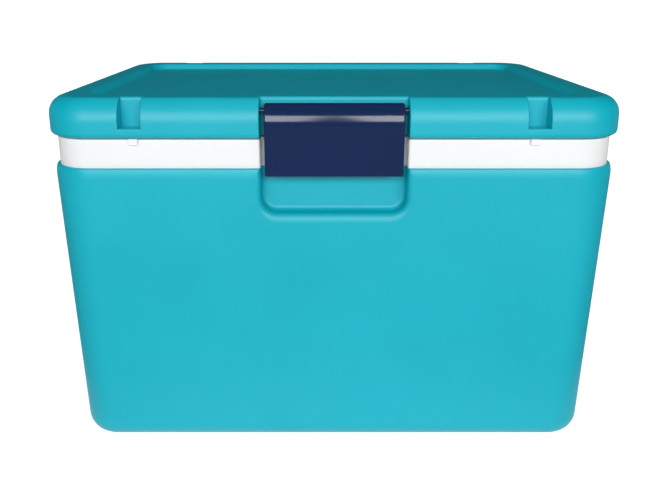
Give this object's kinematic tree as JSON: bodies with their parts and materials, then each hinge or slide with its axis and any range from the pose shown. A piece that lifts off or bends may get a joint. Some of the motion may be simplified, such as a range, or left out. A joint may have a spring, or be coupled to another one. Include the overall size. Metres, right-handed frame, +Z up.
{
  "type": "vaccine carrier",
  "caption": "Insulated box carrier with a crowned hinged lid, white rim band, front flap latch and a ring of coolant packs round a central vaccine space.",
  "frame": {"origin": "on the ground under the middle of the lid, in the plane of the plinth that it stands on", "axes": "+X to the right seen from the front, +Y towards the hinges, +Z up; the latch faces -Y"},
  "size_m": [0.4, 0.2801, 0.268],
  "materials": {
    "turquoise_shell": "fine satin moulded polyethylene, turquoise",
    "white_liner": "smooth white moulded polyethylene",
    "rigid_foam": "rigid polyurethane foam, closed cell",
    "base_plug": "moulded polyethylene plug",
    "seal": "soft grey foamed rubber",
    "latch_plastic": "glossy dark navy moulded plastic",
    "hinge_plastic": "white moulded nylon",
    "steel_fastener": "plain stainless steel",
    "pack_shell": "blow-moulded natural white polyethylene",
    "pack_cap": "moulded white screw cap, welded shut"
  },
  "bodies": {
    "root": {"outer_shell": "turquoise_shell", "body_foam": "rigid_foam", "inner_liner": "white_liner", "foam_plug_left": "base_plug", "foam_plug_right": "base_plug", "hinge_body_leaf_left": "hinge_plastic", "hinge_body_leaf_right": "hinge_plastic", "hinge_pin_left": "steel_fastener", "hinge_pin_right": "steel_fastener", "hinge_body_screws": "steel_fastener", "ice_pack_front_left": "pack_shell", "ice_pack_front_right": "pack_shell", "ice_pack_rear_left": "pack_shell", "ice_pack_rear_right": "pack_shell", "ice_pack_end_left": "pack_shell", "ice_pack_end_right": "pack_shell", "ice_pack_cap_front_left": "pack_cap", "ice_pack_cap_front_right": "pack_cap", "ice_pack_cap_rear_left": "pack_cap", "ice_pack_cap_rear_right": "pack_cap", "ice_pack_cap_end_left": "pack_cap", "ice_pack_cap_end_right": "pack_cap"},
    "lid": {"lid_shell": "turquoise_shell", "lid_foam": "rigid_foam", "lid_liner": "white_liner", "lid_gasket": "seal", "hinge_lid_leaf_left": "hinge_plastic", "hinge_lid_leaf_right": "hinge_plastic", "hinge_lid_screws": "steel_fastener", "latch_pin": "steel_fastener"},
    "latch": {"latch_flap": "latch_plastic"}
  },
  "joints": [
    {"name": "lid_hinge", "type": "hinge", "parent": "root", "child": "lid", "pos_m": [0, 0.1396, 0.2385], "axis": [-1, 0, 0], "range_deg": [0, 100]},
    {"name": "latch_flip", "type": "hinge", "parent": "lid", "child": "latch", "pos_m": [0, -0.12773, 0.2593], "axis": [-1, 0, 0], "range_deg": [0, 100]}
  ]
}
